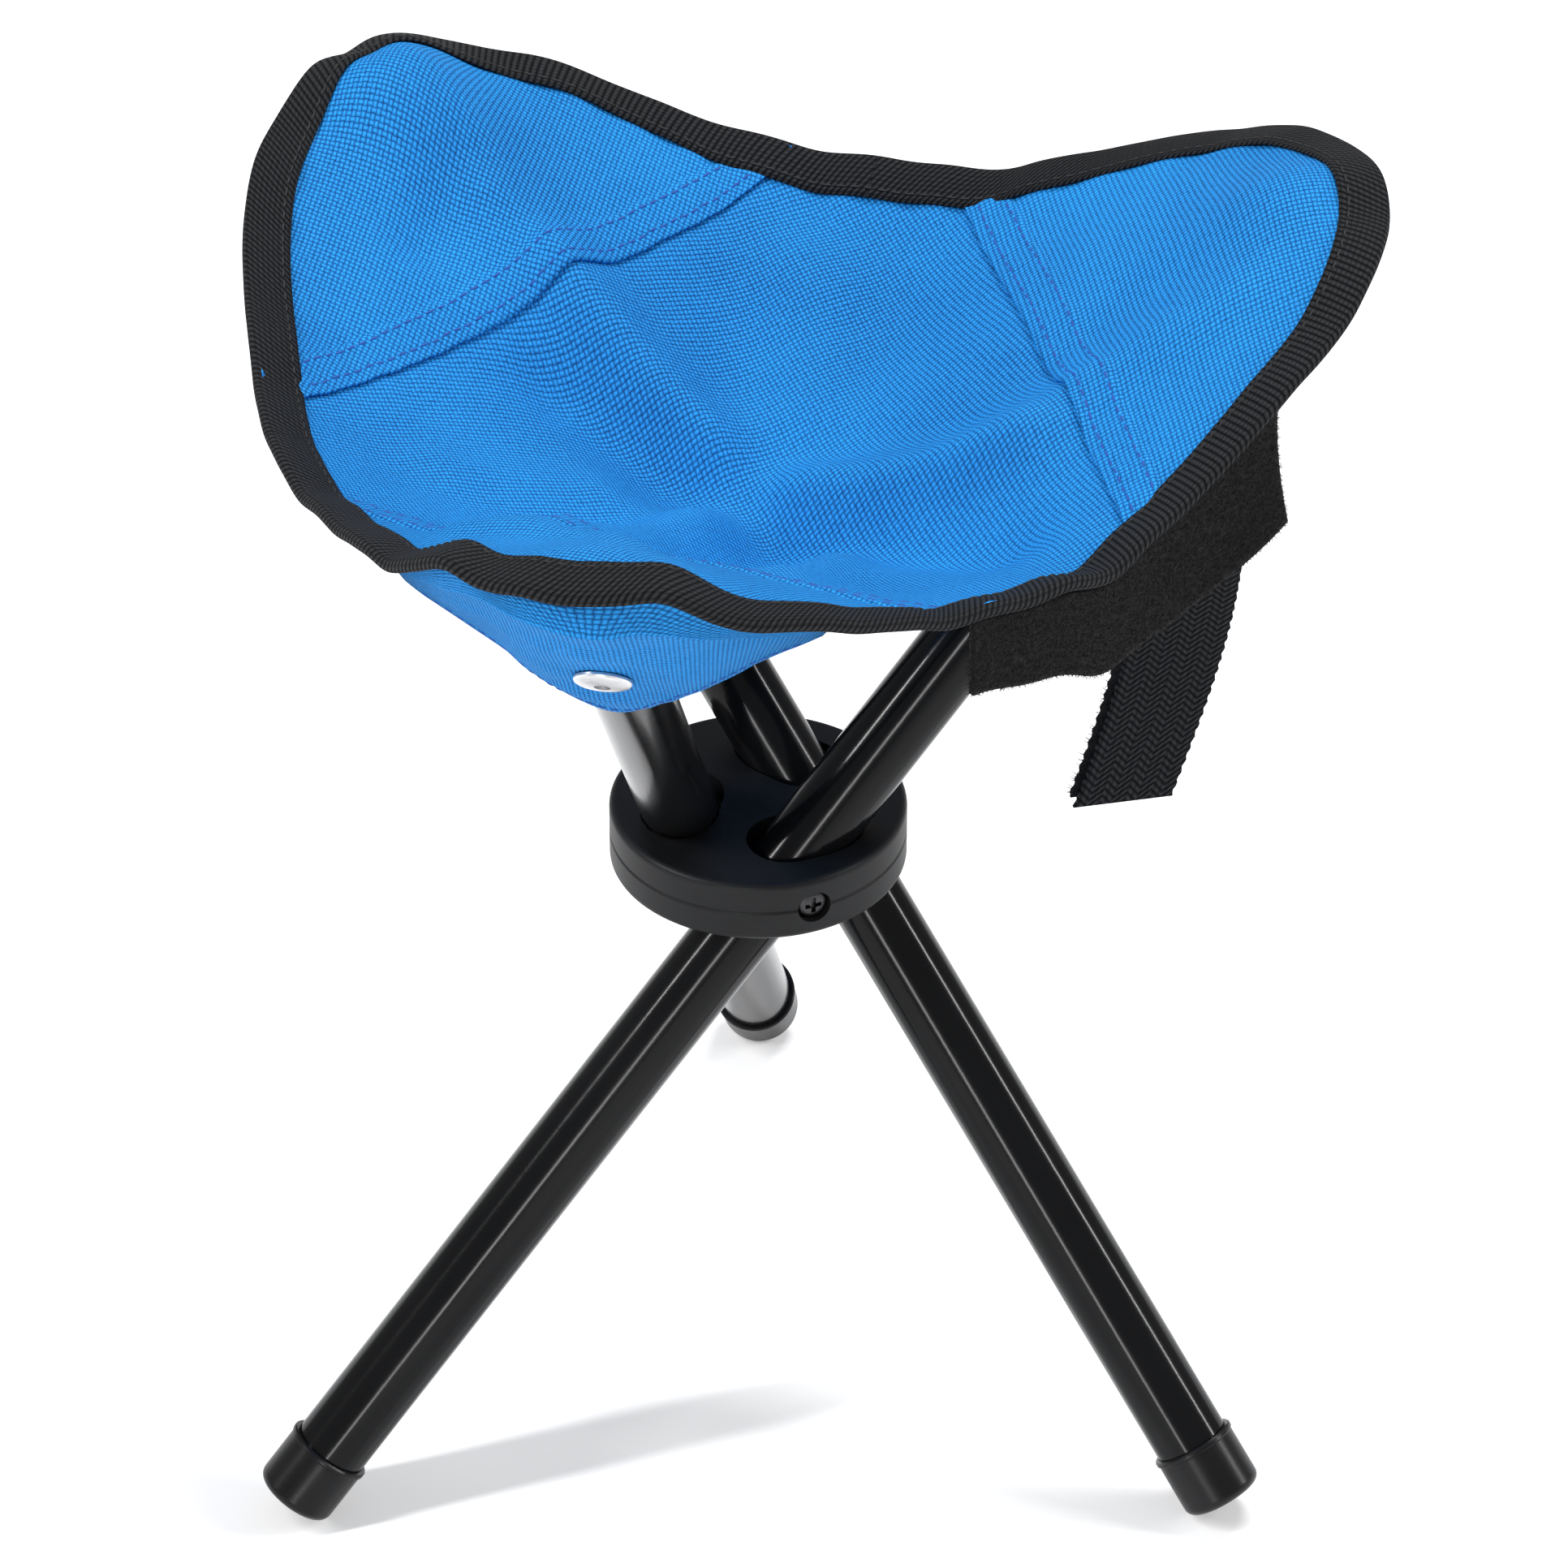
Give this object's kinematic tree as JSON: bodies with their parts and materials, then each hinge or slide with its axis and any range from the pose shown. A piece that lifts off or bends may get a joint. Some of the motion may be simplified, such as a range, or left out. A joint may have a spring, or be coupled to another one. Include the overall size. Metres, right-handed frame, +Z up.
{
  "type": "folding tripod stool",
  "caption": "Folding tripod camp stool: crossed tube legs pivot in a slotted hub and hold a sagging sewn cloth seat by its pocketed corners.",
  "frame": {"origin": "on the ground under the centre of the stool's bounding box; all three feet stand on z = 0", "axes": "+Z up; +Y towards the back foot; +X to the sitter's right, towards the corner that lies between the two right-hand edges"},
  "size_m": [0.2315, 0.2393, 0.2811],
  "materials": {
    "black_moulding": "fine satin grain with a faint mould line round the rim",
    "black_lacquer": "smooth gloss black lacquer on steel tube",
    "black_cap": "smooth semi-gloss moulding",
    "zinc_steel": "zinc plated",
    "rivet_metal": "satin dome with a drawn centre",
    "blue_cloth": "tightly woven azure cloth",
    "black_tape": "ribbed woven tape",
    "loop_pile": "short looped pile",
    "hook_pile": "stiff hooked tape"
  },
  "bodies": {
    "hub": {"hub_disc": "black_moulding", "pivot_screw_1": "zinc_steel", "pivot_screw_2": "zinc_steel", "pivot_screw_3": "zinc_steel", "pivot_nut_1": "zinc_steel", "pivot_nut_2": "zinc_steel", "pivot_nut_3": "zinc_steel", "seat_centre_panel": "blue_cloth", "seat_corner_panel_1": "blue_cloth", "seat_corner_panel_2": "blue_cloth", "seat_corner_panel_3": "blue_cloth", "edge_binding": "black_tape", "closure_loop_tape": "loop_pile", "closure_webbing": "black_tape", "closure_hook_tape": "hook_pile"},
    "leg_1": {"leg_tube_1": "black_lacquer", "foot_cap_1": "black_cap", "top_plug_1": "black_cap", "leg_rivet_1": "rivet_metal", "corner_pocket_1": "blue_cloth"},
    "leg_2": {"leg_tube_2": "black_lacquer", "foot_cap_2": "black_cap", "top_plug_2": "black_cap", "leg_rivet_2": "rivet_metal", "corner_pocket_2": "blue_cloth"},
    "leg_3": {"leg_tube_3": "black_lacquer", "foot_cap_3": "black_cap", "top_plug_3": "black_cap", "leg_rivet_3": "rivet_metal", "corner_pocket_3": "blue_cloth"}
  },
  "joints": [
    {"name": "leg_1_fold", "type": "hinge", "parent": "hub", "child": "leg_1", "pos_m": [-0.02646, 0.0016, 0.13935], "axis": [-0.9907, 0.1357, 0], "range_deg": [0, 40], "deforming": ["seat_centre_panel", "seat_corner_panel_1", "seat_corner_panel_2", "seat_corner_panel_3", "edge_binding", "closure_loop_tape", "closure_webbing", "closure_hook_tape", "corner_pocket_1", "corner_pocket_2", "corner_pocket_3"]},
    {"name": "leg_2_fold", "type": "hinge", "parent": "hub", "child": "leg_2", "pos_m": [-0.00524, -0.01485, 0.13935], "axis": [0.3778, -0.9259, 0], "range_deg": [0, 40]},
    {"name": "leg_3_fold", "type": "hinge", "parent": "hub", "child": "leg_3", "pos_m": [-0.0016, 0.01175, 0.13935], "axis": [0.6129, 0.7901, 0], "range_deg": [0, 40]}
  ],
  "couplings": [
    {"joint": "leg_2_fold", "follows": "leg_1_fold", "ratio": 1},
    {"joint": "leg_3_fold", "follows": "leg_1_fold", "ratio": 1}
  ]
}
